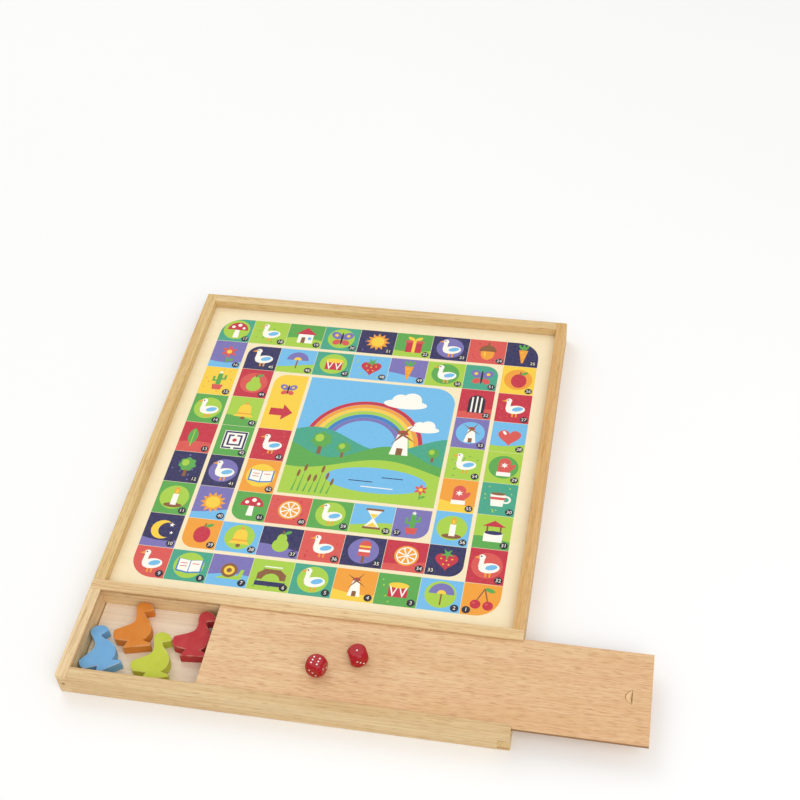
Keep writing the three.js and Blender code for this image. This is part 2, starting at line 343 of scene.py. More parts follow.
class Printing:
    """The ink shapes of one face of the panel, drawn flat in millimetres from its middle."""

    def __init__(self, name, sheet_name, turned):
        low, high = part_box(sheet_name)
        self.name = name
        self.turned = turned
        self.middle = (low + high) / 2
        self.middle.z = low.z if turned else high.z
        self.shapes = {}
        self.figures = {}

    def lay(self, ink, layer, *outlines):
        self.shapes.setdefault(ink, {}).setdefault(layer, []).extend(outlines)

    def stamp(self, motif, layer, u, v, scale, turn=0.0):
        c, s = scale * math.cos(turn), scale * math.sin(turn)
        for step, (ink, *outlines) in enumerate(motif):
            for outline in outlines:
                self.lay(ink, layer + step, [(u + c * a - s * b, v + s * a + c * b) for a, b in outline])

    def write(self, ink, layer, words, u, v, height, turn=0.0):
        self.figures.setdefault(ink, []).append((layer, words, u, v, height, turn))

    def set_down(self, piece, layer, u=0.0, v=0.0, turn=0.0):
        """Puts a flat drawing on the paper, thick enough for its layer to cover those below."""
        rise = film * (layer + 1)
        piece.data.extrude = (rise + film_bite) / 2
        side = -1 if self.turned else 1
        height = self.middle.z + side * (rise - film_bite) / 2
        piece.location = (self.middle.x + side * u * mm, self.middle.y + v * mm, height)
        piece.rotation_euler = (0, math.pi if self.turned else 0, -turn if self.turned else turn)
        piece.select_set(True)
        bpy.context.view_layer.objects.active = piece

    def press(self, ink):
        """Makes all the shapes and figures of one ink into one closed mesh."""
        bpy.ops.object.select_all(action="DESELECT")
        for layer, outlines in self.shapes.get(ink, {}).items():
            drawing = bpy.data.curves.new("drawing", "CURVE")
            drawing.dimensions = "2D"
            drawing.fill_mode = "BOTH"
            for outline in outlines:
                line = drawing.splines.new("POLY")
                line.points.add(len(outline) - 1)
                line.points.foreach_set("co", [c for u, v in outline for c in (u * mm, v * mm, 0, 1)])
                line.use_cyclic_u = True
            piece = bpy.data.objects.new("drawing", drawing)
            scene.collection.objects.link(piece)
            self.set_down(piece, layer)
        drawn = list(bpy.context.selected_objects)
        for layer, words, u, v, height, turn in self.figures.get(ink, []):
            bpy.ops.object.text_add()
            piece = bpy.context.object
            piece.data.body = words
            piece.data.size = height * mm
            piece.data.align_x = "CENTER"
            piece.data.align_y = "CENTER"
            piece.data.resolution_u = figure_steps
            self.set_down(piece, layer, u, v, turn)
            drawn.append(piece)
        for piece in drawn:
            piece.select_set(True)
        bpy.ops.object.convert(target="MESH")
        bpy.ops.object.join()
        bpy.ops.object.transform_apply(location=True, rotation=True, scale=True)
        piece = bpy.context.object
        piece.name = self.name + "_" + ink
        bpy.ops.object.mode_set(mode="EDIT")
        bpy.ops.mesh.select_all(action="SELECT")
        bpy.ops.mesh.remove_doubles(threshold=weld_gap)
        bpy.ops.mesh.normals_make_consistent(inside=False)
        bpy.ops.object.mode_set(mode="OBJECT")
        piece.data.materials.clear()
        piece.data.materials.append(ink_skins[ink])
        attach(piece, "box")

    def press_all(self):
        for ink in inks:
            if ink in self.shapes or ink in self.figures:
                self.press(ink)


def around(steps):
    return [2 * math.pi * k / steps for k in range(steps)]


def oval(u, v, wide, high, turn=0.0, steps=18):
    c, s = math.cos(turn), math.sin(turn)
    ring = [(wide * math.cos(a), high * math.sin(a)) for a in around(steps)]
    return [(u + c * a - s * b, v + s * a + c * b) for a, b in ring]


def disc(u, v, radius, steps=18):
    return oval(u, v, radius, radius, 0.0, steps)


def star(u, v, outer, inner, points, turn=0.0):
    outline = []
    for k, a in enumerate(around(2 * points)):
        reach = outer if k % 2 == 0 else inner
        outline.append((u + reach * math.sin(a + turn), v + reach * math.cos(a + turn)))
    return outline


def bloom(u, v, radius, depth, petals, steps=48):
    outline = []
    for a in around(steps):
        reach = radius + depth * math.cos(petals * a)
        outline.append((u + reach * math.sin(a), v + reach * math.cos(a)))
    return outline


def slab(left, low, right, high):
    return [(left, low), (right, low), (right, high), (left, high)]


def arc(u, v, radius, start, end, steps=12):
    turns = [math.radians(start + (end - start) * k / steps) for k in range(steps + 1)]
    return [(u + radius * math.cos(a), v + radius * math.sin(a)) for a in turns]


def heart(u, v, scale):
    outline = []
    for a in around(32):
        across = 16 * math.sin(a) ** 3
        up = 13 * math.cos(a) - 5 * math.cos(2 * a) - 2 * math.cos(3 * a) - math.cos(4 * a)
        outline.append((u + scale * across / 17, v + scale * up / 17))
    return outline


def citrus_slice(turn):
    middle = 90 - math.degrees(turn)
    return [(0.08 * math.sin(turn), 0.08 * math.cos(turn))] + arc(0, 0, 0.6, middle + 17, middle - 17, 4)


goose_motif = [
    ("orange", slab(-0.12, -0.9, 0.0, -0.4), slab(0.14, -0.9, 0.26, -0.4)),
    ("white", oval(0.1, -0.18, 0.68, 0.4, 0.16)),
    ("white", [(-0.62, -0.2), (-0.3, -0.05), (-0.26, 0.62), (-0.56, 0.62)]),
    ("white", disc(-0.44, 0.64, 0.22)),
    ("orange", [(-0.6, 0.74), (-0.96, 0.56), (-0.6, 0.52)]),
    ("sky", oval(0.24, -0.12, 0.4, 0.2, 0.3)),
    ("dark", disc(-0.5, 0.7, 0.06, 10)),
]
motifs = {
    "tree": [
        ("brown", slab(-0.12, -0.9, 0.12, -0.1)),
        ("green", bloom(0, 0.2, 0.58, 0.06, 7)),
        ("lime", oval(-0.16, 0.32, 0.26, 0.3)),
    ],
    "house": [
        ("white", slab(-0.58, -0.8, 0.58, 0.12)),
        ("red", [(-0.8, 0.12), (0.8, 0.12), (0, 0.85)]),
        ("brown", slab(-0.3, -0.8, 0.0, -0.2)),
        ("sky", slab(0.2, -0.45, 0.45, -0.15)),
    ],
    "sun": [("orange", star(0, 0, 0.9, 0.58, 12)), ("yellow", disc(0, 0, 0.5))],
    "flower": [
        ("green", slab(-0.06, -0.95, 0.06, -0.2)),
        ("green", oval(0.28, -0.62, 0.26, 0.12, 0.5)),
        ("coral", bloom(0, 0.22, 0.46, 0.16, 6)),
        ("yellow", disc(0, 0.22, 0.2)),
    ],
    "moon": [
        ("yellow", arc(-0.05, 0, 0.78, 50, 310) + arc(0.3, 0, 0.62, 285, 75)),
        ("white", star(0.5, 0.45, 0.2, 0.08, 5), star(0.62, -0.2, 0.14, 0.06, 5)),
    ],
    "mushroom": [
        ("white", [(-0.22, -0.85), (0.22, -0.85), (0.16, 0.1), (-0.16, 0.1)]),
        ("red", arc(0, -0.02, 0.8, 0, 180)),
        ("white", disc(-0.38, 0.28, 0.14, 12), disc(0.08, 0.5, 0.16, 12), disc(0.45, 0.2, 0.12, 12)),
    ],
    "apple": [
        ("red", bloom(0, -0.12, 0.62, 0.06, 2)),
        ("brown", [(-0.05, 0.4), (0.05, 0.4), (0.14, 0.8), (0.04, 0.82)]),
        ("green", oval(0.36, 0.66, 0.26, 0.13, 0.5)),
    ],
    "heart": [("coral", heart(0, 0, 0.85)), ("white", oval(-0.36, 0.34, 0.1, 0.2, 0.6, 12))],
    "butterfly": [
        ("purple", oval(-0.42, 0.3, 0.46, 0.34, -0.6), oval(0.42, 0.3, 0.46, 0.34, 0.6)),
        ("coral", oval(-0.34, -0.4, 0.32, 0.26, 0.6), oval(0.34, -0.4, 0.32, 0.26, -0.6)),
        ("yellow", disc(-0.45, 0.32, 0.14, 12), disc(0.45, 0.32, 0.14, 12)),
        ("dark", oval(0, 0, 0.08, 0.66)),
    ],
    "leaf": [
        ("green", arc(0.3, 0.0, 1.0, 130, 230) + arc(-0.99, 0.0, 1.0, -50, 50)),
        ("lime", slab(-0.38, -0.95, -0.31, 0.6)),
    ],
    "umbrella": [
        ("brown", slab(-0.05, -0.8, 0.05, 0.2)),
        ("purple", arc(0, 0.05, 0.82, 0, 180)),
        ("yellow", arc(0, 0.05, 0.3, 0, 180, 8)),
    ],
    "windmill": [
        ("white", [(-0.42, -0.9), (0.42, -0.9), (0.22, 0.3), (-0.22, 0.3)]),
        ("red", arc(0, 0.3, 0.26, 0, 180)),
        ("brown", star(0, 0.32, 0.78, 0.09, 4, 0.6)),
        ("brown", slab(-0.14, -0.9, 0.14, -0.5)),
    ],
    "drum": [
        ("red", slab(-0.62, -0.6, 0.62, 0.3)),
        ("white", [
            (-0.62, 0.3), (-0.31, -0.6), (0, 0.3), (0.31, -0.6), (0.62, 0.3),
            (0.5, 0.3), (0.31, -0.34), (0, 0.52), (-0.31, -0.34), (-0.5, 0.3),
        ]),
        ("yellow", oval(0, 0.32, 0.66, 0.22)),
    ],
    "snail": [
        ("lime", [(-0.9, -0.7), (0.8, -0.7), (0.92, 0.1), (0.7, 0.1), (0.55, -0.4), (-0.5, -0.5)]),
        ("brown", disc(-0.08, -0.02, 0.56)),
        ("yellow", disc(-0.08, -0.02, 0.36)),
        ("brown", disc(-0.08, -0.02, 0.18, 12)),
    ],
    "cherries": [
        ("brown", [(-0.42, -0.2), (-0.34, -0.2), (0.12, 0.8), (0.04, 0.84)]),
        ("brown", [(0.42, -0.25), (0.34, -0.28), (0.04, 0.8), (0.12, 0.82)]),
        ("red", disc(-0.4, -0.42, 0.34), disc(0.4, -0.46, 0.34)),
        ("green", oval(0.42, 0.72, 0.34, 0.15, -0.3)),
        ("coral", disc(-0.5, -0.32, 0.09, 10), disc(0.3, -0.36, 0.09, 10)),
    ],
    "bell": [
        ("brown", disc(0, -0.68, 0.16, 12)),
        ("yellow", [
            (-0.74, -0.56), (-0.5, -0.3), (-0.45, 0.2),
            *arc(0, 0.2, 0.45, 180, 0), (0.5, -0.3), (0.74, -0.56),
        ]),
        ("orange", slab(-0.5, -0.32, 0.5, -0.2), disc(0, 0.74, 0.12, 12)),
    ],
    "acorn": [
        ("orange", oval(0, -0.22, 0.5, 0.66)),
        ("brown", arc(0, 0.0, 0.64, 0, 180)),
        ("brown", slab(-0.06, 0.58, 0.06, 0.9)),
        ("yellow", oval(-0.2, -0.3, 0.07, 0.26, 0.0, 12)),
    ],
    "cup": [
        ("white", disc(0.46, -0.05, 0.34), disc(0.46, -0.05, 0.2)),
        ("white", [(-0.62, 0.4), (0.42, 0.4), (0.3, -0.66), (-0.5, -0.66)]),
        ("coral", [(-0.6, 0.12), (0.4, 0.12), (0.38, -0.1), (-0.57, -0.1)]),
        ("brown", oval(-0.1, 0.4, 0.52, 0.12)),
    ],
    "pear": [
        ("lime", oval(0, -0.3, 0.56, 0.54)),
        ("lime", oval(0, 0.2, 0.34, 0.46)),
        ("brown", slab(-0.05, 0.58, 0.05, 0.92)),
        ("green", oval(0.3, 0.76, 0.26, 0.12, 0.5)),
    ],
    "mitten": [
        ("coral", oval(0.5, 0.0, 0.17, 0.36, -0.6)),
        ("coral", [(-0.42, -0.45), (0.42, -0.45), (0.42, 0.4)] + arc(0, 0.4, 0.42, 0, 180)),
        ("white", slab(-0.48, -0.8, 0.48, -0.45)),
        ("white", star(0, 0.16, 0.28, 0.11, 6)),
    ],
    "candle": [
        ("brown", oval(0, -0.68, 0.66, 0.2)),
        ("white", slab(-0.2, -0.66, 0.2, 0.3)),
        ("orange", oval(0, 0.58, 0.17, 0.3)),
        ("yellow", oval(0, 0.52, 0.09, 0.18, 0.0, 12)),
    ],
    "gift": [
        ("red", slab(-0.6, -0.8, 0.6, 0.25)),
        ("coral", slab(-0.7, 0.2, 0.7, 0.46)),
        ("yellow", slab(-0.12, -0.8, 0.12, 0.46)),
        ("yellow", oval(-0.28, 0.64, 0.3, 0.15, -0.5), oval(0.28, 0.64, 0.3, 0.15, 0.5)),
    ],
    "carrot": [
        ("green", oval(-0.22, 0.7, 0.1, 0.3, 0.5), oval(0.22, 0.7, 0.1, 0.3, -0.5)),
        ("green", oval(0, 0.74, 0.1, 0.3)),
        ("orange", [(-0.34, 0.42), (0.34, 0.42), (0.06, -0.92), (-0.06, -0.92)]),
        ("yellow", slab(-0.22, 0.12, 0.02, 0.18), slab(-0.02, -0.25, 0.15, -0.19)),
    ],
    "cactus": [
        ("green", [(-0.18, -0.5), (0.18, -0.5), (0.18, 0.6)] + arc(0, 0.6, 0.18, 0, 180)),
        ("green", [(-0.1, -0.1), (-0.5, -0.1), (-0.5, 0.4), (-0.34, 0.4), (-0.34, 0.06), (-0.1, 0.06)]),
        ("green", [(0.1, 0.1), (0.5, 0.1), (0.5, 0.58), (0.34, 0.58), (0.34, 0.26), (0.1, 0.26)]),
        ("coral", [(-0.42, -0.42), (0.42, -0.42), (0.3, -0.92), (-0.3, -0.92)]),
        ("white", star(0, 0.82, 0.18, 0.08, 5)),
    ],
    "strawberry": [
        ("red", heart(0, -0.06, 0.8)),
        ("green", star(0, 0.5, 0.48, 0.16, 5, math.pi)),
        ("yellow", *[
            disc(a, b, 0.06, 8)
            for a, b in ((-0.36, 0.1), (0, -0.02), (0.36, 0.1), (-0.18, -0.34), (0.18, -0.34))
        ]),
    ],
    "lolly": [
        ("brown", slab(-0.09, -0.95, 0.09, -0.3)),
        ("coral", [(-0.38, -0.42), (0.38, -0.42), (0.38, 0.48)] + arc(0, 0.48, 0.38, 0, 180)),
        ("white", slab(-0.38, -0.08, 0.38, 0.1)),
        ("yellow", slab(-0.38, 0.28, 0.38, 0.42)),
    ],
    "book": [
        ("blue", [(-0.86, -0.5), (0, -0.64), (0.86, -0.5), (0.86, 0.52), (0, 0.4), (-0.86, 0.52)]),
        (
            "white",
            [(-0.76, -0.4), (-0.03, -0.52), (-0.03, 0.38), (-0.76, 0.48)],
            [(0.03, -0.52), (0.76, -0.4), (0.76, 0.48), (0.03, 0.38)],
        ),
        (
            "coral",
            slab(-0.62, 0.12, -0.16, 0.18),
            slab(-0.62, -0.12, -0.16, -0.06),
            slab(0.16, 0.12, 0.62, 0.18),
        ),
    ],
    "citrus": [
        ("orange", disc(0, 0, 0.8, 28)),
        ("white", disc(0, 0, 0.68, 28)),
        ("orange", *[citrus_slice(a) for a in around(8)]),
    ],
    "bridge": [
        ("navy", slab(-1.0, -0.9, 1.0, -0.55)),
        ("brown", [
            (-0.95, -0.4), (-0.62, -0.4), *arc(0, -0.5, 0.6, 170, 10), (0.62, -0.4), (0.95, -0.4),
            (0.95, 0.05), (0.5, 0.42), (-0.5, 0.42), (-0.95, 0.05),
        ]),
        ("white", slab(-0.6, 0.56, 0.6, 0.64)),
    ],
    "well": [
        ("brown", slab(-0.5, -0.2, -0.38, 0.45), slab(0.38, -0.2, 0.5, 0.45)),
        ("red", [(-0.78, 0.4), (0.78, 0.4), (0, 0.9)]),
        ("white", slab(-0.62, -0.85, 0.62, -0.1)),
        ("navy", oval(0, -0.12, 0.6, 0.16)),
    ],
    "maze": [
        ("white", slab(-0.85, -0.85, 0.85, 0.85)),
        ("navy", *[slab(-reach, -reach, reach, reach) for reach in (0.8, 0.66, 0.5, 0.36)]),
        ("white", slab(-0.1, -0.82, 0.1, -0.6), slab(-0.1, 0.34, 0.1, 0.52)),
        ("red", disc(0, 0, 0.16, 12)),
    ],
    "gate": [
        ("dark", [(-0.6, -0.9), (0.6, -0.9), *arc(0, 0.2, 0.6, 0, 180)]),
        (
            "white",
            slab(-0.38, -0.86, -0.26, 0.6),
            slab(-0.06, -0.86, 0.06, 0.7),
            slab(0.26, -0.86, 0.38, 0.6),
        ),
    ],
    "hourglass": [
        ("brown", slab(-0.6, 0.68, 0.6, 0.86), slab(-0.6, -0.86, 0.6, -0.68)),
        ("white", [(-0.5, 0.68), (0.5, 0.68), (0.06, 0), (0.5, -0.68), (-0.5, -0.68), (-0.06, 0)]),
        ("yellow", [(-0.3, 0.4), (0.3, 0.4), (0, 0)], [(-0.4, -0.66), (0.4, -0.66), (0, -0.3)]),
    ],
}

goose_print = Printing("goose_print", "goose_sheet", False)
track_wide = 262.0
track_deep = 264.0
lane = 26.5
lane_gap = 2.6
hairline = 0.3
lap_corner = 17.0
inner_corner = 10.2
outer_lap_end = 32
laps = [(7, 7), (5, 5), (3, 3)]
space_count = 63
land_height = 8.5
land_swell = 2.6
land_wave = 2.4
land_steps = 12


def softened(left, low, right, high, corner, radius):
    """A square space; the corner named by its two signs is rounded over."""
    outline = []
    for su, sv, start in ((1, -1, 270), (1, 1, 0), (-1, 1, 90), (-1, -1, 180)):
        u, v = (right if su > 0 else left), (high if sv > 0 else low)
        if (su, sv) == corner:
            outline += arc(u - su * radius, v - sv * radius, radius, start, start + 90, 8)
        else:
            outline.append((u, v))
    return outline


def lap_spaces(lap):
    """The spaces of one lap, clockwise from the near right corner: (left, low, right, high, corner)."""
    inset = lap * (lane + lane_gap)
    right, high = track_wide / 2 - inset, track_deep / 2 - inset
    inner_u, inner_v = right - lane, high - lane
    across, along = laps[lap]
    step_u = 2 * inner_u / across
    step_v = 2 * inner_v / along
    spaces = [(inner_u, -high, right, -inner_v, (1, -1))]
    for k in range(across):
        edge = inner_u - k * step_u
        spaces.append((edge - step_u, -high, edge, -inner_v, None))
    spaces.append((-right, -high, -inner_u, -inner_v, (-1, -1)))
    for k in range(along):
        edge = k * step_v - inner_v
        spaces.append((-right, edge, -inner_u, edge + step_v, None))
    spaces.append((-right, inner_v, -inner_u, high, (-1, 1)))
    for k in range(across):
        edge = k * step_u - inner_u
        spaces.append((edge, inner_v, edge + step_u, high, None))
    spaces.append((inner_u, inner_v, right, high, (1, 1)))
    for k in range(along):
        edge = inner_v - k * step_v
        spaces.append((inner_u, edge - step_v, right, edge, None))
    return spaces


def land(left, right, low, seed):
    """The top edge of a low hill across a space, from right to left."""
    top = []
    for k in range(land_steps + 1):
        share = k / land_steps
        height = land_height + land_swell * math.sin(land_wave * share + seed)
        top.append((right - (right - left) * share, low + height))
    return top


spaces = (lap_spaces(0) + lap_spaces(1) + lap_spaces(2))[:space_count]
goose_spaces = {5, 9, 14, 18, 23, 27, 32, 36, 41, 45, 50, 54, 59, 63}
set_spaces = {6: "bridge", 19: "house", 31: "well", 42: "maze", 52: "gate", 58: "hourglass"}
free_motifs = [name for name in motifs if name not in set_spaces.values()]
ground_step = 3
ground_shift = 7
grounds = ["sky", "red", "lime", "navy", "yellow", "teal", "orange", "purple", "coral", "green"]
partners = {
    "sky": "lime",
    "red": "coral",
    "lime": "green",
    "navy": "purple",
    "yellow": "orange",
    "teal": "lime",
    "orange": "yellow",
    "purple": "sky",
    "coral": "red",
    "green": "lime",
}
ground_layer = 0
partner_layer = 1
motif_layer = 2
tag_layer = 10
figure_layer = 11
half_line = hairline / 2
halo_radius = 11.0
dot_count = 9
dot_margin = 3
dot_radius = 0.6
dot_growth = 0.02
motif_scale = 10.8
motif_shift = 0.6
tag_radius = 2.9
tag_inset = 4.0
figure_height = 4.1
rng = random.Random(11)
rng.shuffle(free_motifs)
dealt = 0
last_ground = ""
for number, (left, low, right, high, corner) in enumerate(spaces, 1):
    if number in goose_spaces:
        motif = goose_motif
    elif number in set_spaces:
        motif = motifs[set_spaces[number]]
    else:
        if dealt == len(free_motifs):
            rng.shuffle(free_motifs)
            dealt = 0
        motif = motifs[free_motifs[dealt]]
        dealt += 1
    used = {shape[0] for shape in motif}
    choices = [ink for ink in grounds if ink not in used and partners[ink] not in used]
    choices = [ink for ink in choices if ink != last_ground and (ink != "teal" or "green" not in used)]
    last_ground = choices[(ground_step * number + number // ground_shift) % len(choices)]
    radius = lap_corner if number <= outer_lap_end else inner_corner
    near, far = left + half_line, right - half_line
    foot, top = low + half_line, high - half_line
    goose_print.lay(last_ground, ground_layer, softened(near, foot, far, top, corner, radius))
    u, v = (left + right) / 2, (low + high) / 2
    partner = partners[last_ground]
    if corner is None and number % 3 == 1:
        hillside = [(near, foot), (far, foot)] + land(near, far, low, number)
        goose_print.lay(partner, partner_layer, hillside)
    elif number % 3 == 2:
        goose_print.lay(partner, partner_layer, disc(u, v + motif_shift, halo_radius, 32))
    elif corner is None:
        for dot in range(dot_count):
            dot_u = rng.uniform(left + dot_margin, right - dot_margin)
            dot_v = rng.uniform(low + dot_margin, high - dot_margin)
            goose_print.lay(partner, partner_layer, disc(dot_u, dot_v, dot_radius + dot_growth * dot, 8))
    goose_print.stamp(motif, motif_layer, u + motif_shift, v + motif_shift, motif_scale)
    tag_u, tag_v = right - tag_inset, low + tag_inset
    if corner == (1, -1):
        tag_u = left + tag_inset
    goose_print.lay("dark", tag_layer, disc(tag_u, tag_v, tag_radius, 16))
    goose_print.write("white", figure_layer, str(number), tag_u, tag_v, figure_height)

# The picture in the middle of the race: a rainbow over hills, a windmill and a pond. Its places
# are counted from its near left corner, and a later layer covers an earlier one.
inset = 2 * (lane + lane_gap)
view_left = -track_wide / 2 + inset + lane + lane_gap
view_low = -track_deep / 2 + inset + lane + lane_gap
view_right = track_wide / 2 - inset
view_high = track_deep / 2 - inset
view_wide = view_right - view_left
hill_steps = 40
hills = [
    ("teal", 2, 58, 9, 2.2, 0.6),
    ("green", 3, 46, 8, 2.6, 2.6),
    ("lime", 4, 33, 7, 1.8, 4.3),
]


def hill(base, rise, waves, start):
    """A hill across the whole picture: its mean height, swell, half waves and where they start."""
    top = []
    for k in range(hill_steps + 1):
        share = k / hill_steps
        height = base + rise * math.sin(waves * math.pi * share + start)
        top.append((view_left + view_wide * share, view_low + height))
    return [(view_left, view_low), (view_right, view_low)] + top[::-1]


goose_print.lay("sky", 0, softened(view_left, view_low, view_right, view_high, (1, 1), lap_corner))
bow_u = view_left + 53
bow_v = view_low + 52
bow_reach = 46.0
bow_band = 3.4
bow_overlap = 0.2
bow_steps = 40
for band, bow_ink in enumerate(("red", "orange", "yellow", "lime", "blue", "purple")):
    outer_reach = bow_reach - band * bow_band
    inner_reach = outer_reach - bow_band + bow_overlap
    outer = arc(bow_u, bow_v, outer_reach, 0, 180, bow_steps)
    inner = arc(bow_u, bow_v, inner_reach, 180, 0, bow_steps)
    goose_print.lay(bow_ink, 1, outer + inner)
cloud_wide = 1.9
cloud_high = 0.55
clouds = [
    (view_right - 38, view_high - 20, 9.0),
    (view_right - 20, view_high - 44, 6.5),
]
puffs = [
    (4, -0.5, 0.4, 0.72),
    (3, 0.5, 0.5, 0.86),
]
for cloud_u, cloud_v, cloud_size in clouds:
    cloud_foot = oval(cloud_u, cloud_v, cloud_wide * cloud_size, cloud_high * cloud_size)
    goose_print.lay("white", 2, cloud_foot)
    for layer, across, up, puff in puffs:
        puff_u = cloud_u + across * cloud_size
        puff_v = cloud_v + up * cloud_size
        goose_print.lay("white", layer, disc(puff_u, puff_v, puff * cloud_size))
for hill_ink, layer, base, rise, waves, start in hills:
    goose_print.lay(hill_ink, layer, hill(base, rise, waves, start))
pond_u = view_left + 70
pond_v = view_low + 20
pond_wide = 38
pond_high = 12
goose_print.lay("sky", 5, oval(pond_u, pond_v, pond_wide, pond_high, 0.0, 36))
ripple_wide = 0.8
ripples = [
    ("navy", 50, 18, 18),
    ("navy", 74, 23, 16),
    ("white", 60, 13, 24),
]
for ripple_ink, across, up, length in ripples:
    ripple_u = view_left + across
    ripple_v = view_low + up
    goose_print.lay(ripple_ink, 6, slab(ripple_u, ripple_v, ripple_u + length, ripple_v + ripple_wide))
reed_count = 7
reed_pitch = 4.4
reed_half = 0.7
reed_lean = 2.0
reed_left = view_left + 10
reed_foot = view_low + 3
reed_mean = view_low + 20
reed_swing = 6
reed_beat = 1.9
head_lean = 1.9
head_wide = 1.1
head_high = 3.6
head_turn = -0.1
for reed in range(reed_count):
    reed_u = reed_left + reed_pitch * reed
    reed_top = reed_mean + reed_swing * math.sin(reed_beat * reed)
    stalk = [(reed_u - reed_half, reed_foot), (reed_u + reed_half, reed_foot), (reed_u + reed_lean, reed_top)]
    goose_print.lay("green", 7, stalk)
    goose_print.lay("brown", 8, oval(reed_u + head_lean, reed_top, head_wide, head_high, head_turn, 12))
sights = [
    ("windmill", 82, 62, 17.0),
    ("tree", 22, 52, 13.0),
    ("tree", 40, 47, 9.0),
    ("tree", 108, 50, 8.0),
    ("flower", view_wide - 12, 14, 8.0),
]
for sight, across, up, scale in sights:
    goose_print.stamp(motifs[sight], 5, view_left + across, view_low + up, scale)

# Above the last space lies the way into the picture, with an arrow and a butterfly.
last_left, _, last_right, last_high, _ = spaces[-1]
way_in = softened(last_left + half_line, last_high + half_line, last_right, view_high, (-1, 1), inner_corner)
way_middle = (last_left + last_right) / 2
arrow = [(-1, -0.4), (0.1, -0.4), (0.1, -0.9), (1, 0), (0.1, 0.9), (0.1, 0.4), (-1, 0.4)]
goose_print.lay("yellow", 0, way_in)
arrow_up = 18
arrow_scale = 9.0
butterfly_up = 42
butterfly_scale = 8.0
goose_print.stamp([("red", arrow)], 1, way_middle, last_high + arrow_up, arrow_scale)
goose_print.stamp(motifs["butterfly"], 1, way_middle, last_high + butterfly_up, butterfly_scale)
goose_print.press_all()

# Ludo print: the lower paper carries a horse race in its usual form: a cross of round
# spaces in four colours, numbered ladders, a star in the middle and four corner stables.
ludo_print = Printing("ludo_print", "ludo_sheet", True)
ludo_pitch = 17.0
arm = 7
round_space = 7.1
round_steps = 28
ladder_half = 6.6
ladder_figure = 10.5
start_outer = 4.0
start_inner = 2.0
stable_reach = 79.5
stable_radius = 52.0
stable_steps = 72
ring_outer = 48.0
ring_inner = 46.0
field_radius = 33
field_wave = 2.4
field_steps = 96
field_motif = 26.0
bead_count = 12
bead_reach = 40.5
bead_long = 2.6
bead_wide = 1.5
teams = [
    ("green", 1, 1, "teal", "tree"),
    ("red", 1, -1, "coral", "flower"),
    ("yellow", -1, -1, "orange", "sun"),
    ("sky", -1, 1, "blue", "butterfly"),
]
arm_turns = {(1, 1): math.pi, (1, -1): math.pi / 2, (-1, -1): 0.0, (-1, 1): -math.pi / 2}
for ink, su, sv, deep, motif_name in teams:
    for k in range(1, arm + 1):
        ludo_print.lay(ink, 0, disc(su * ludo_pitch, sv * k * ludo_pitch, round_space, round_steps))
    for k in range(2, arm + 1):
        ludo_print.lay(ink, 0, disc(su * k * ludo_pitch, sv * ludo_pitch, round_space, round_steps))
    turn = arm_turns[(su, sv)]
    out_u, out_v = round(math.sin(turn)), -round(math.cos(turn))
    ludo_print.lay(ink, 0, disc(arm * out_u * ludo_pitch, arm * out_v * ludo_pitch, round_space, round_steps))
    for k in range(1, arm):
        u, v = (arm - k) * out_u * ludo_pitch, (arm - k) * out_v * ludo_pitch
        ludo_print.lay(ink, 0, slab(u - ladder_half, v - ladder_half, u + ladder_half, v + ladder_half))
        ludo_print.write("dark", 1, str(k), u, v, ladder_figure, turn)
    start_u = (arm * out_u - out_v) * ludo_pitch
    start_v = (arm * out_v + out_u) * ludo_pitch
    start_turn = math.atan2(-out_u, -out_v)
    ludo_print.lay("dark", 1, star(start_u, start_v, start_outer, start_inner, 3, start_turn))
    u, v = su * stable_reach, sv * stable_reach
    ludo_print.lay(ink, 0, disc(u, v, stable_radius, stable_steps))
    ludo_print.lay(deep, 1, disc(u, v, ring_outer, stable_steps), disc(u, v, ring_inner, stable_steps))
    ludo_print.lay("white", 1, bloom(u, v, field_radius, field_wave, bead_count, field_steps))
    ludo_print.stamp(motifs[motif_name], 2, u, v, field_motif, -math.pi / 2)
    for a in around(bead_count):
        bead_u = u + bead_reach * math.sin(a)
        bead_v = v + bead_reach * math.cos(a)
        ludo_print.lay(deep, 1, oval(bead_u, bead_v, bead_long, bead_wide, math.pi / 2 - a, 12))

# The star in the middle is drawn as eight kites, long and short by turns.
kite_inks = ["navy", "red", "teal", "orange"]
kite_start = 0.15
kite_waist = 4.4
kite_long = 11.5
kite_short = 8.5
kite_side = math.pi / 8
for k, a in enumerate(around(8)):
    reach = kite_long if k % 2 == 0 else kite_short
    kite = [
        (kite_start * math.sin(a), kite_start * math.cos(a)),
        (kite_waist * math.sin(a + kite_side), kite_waist * math.cos(a + kite_side)),
        (reach * math.sin(a), reach * math.cos(a)),
        (kite_waist * math.sin(a - kite_side), kite_waist * math.cos(a - kite_side)),
    ]
    ludo_print.lay(kite_inks[k % 4], 0, kite)
ludo_print.press_all()

# Tray floor: a thin sheet of plywood let in between the rails, pale on the side that shows
# in the tray and redder on the side that faces the table.
floor_skin_from = 0.3 * mm
floor_skin_full = 0.6 * mm
floor_line_strength = 0.22
floor_grain_depth = 0.05 * mm
floor_ply = Finish("floor_ply")
floor_low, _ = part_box("tray_floor")
floor_place = floor_ply.node("ShaderNodeTexCoord", output="Object")
floor_height = floor_ply.node("ShaderNodeSeparateXYZ", None, {0: floor_place}, "Z")
floor_face = floor_ply.fade(floor_height, floor_low.z + floor_skin_from, floor_low.z + floor_skin_full)
floor_lines = floor_ply.fade(floor_ply.noise((22, 620, 620), 4.0, 0.6), 0.4, 0.75)
floor_bands = floor_ply.fade(floor_ply.noise((5, 60, 60), 2.0), 0.3, 0.7)
floor_inside = floor_ply.mix(floor_bands, tone("f5e4cc"), tone("eed9bd"))
floor_under = floor_ply.mix(floor_bands, tone("c08a62"), tone("b47d56"))
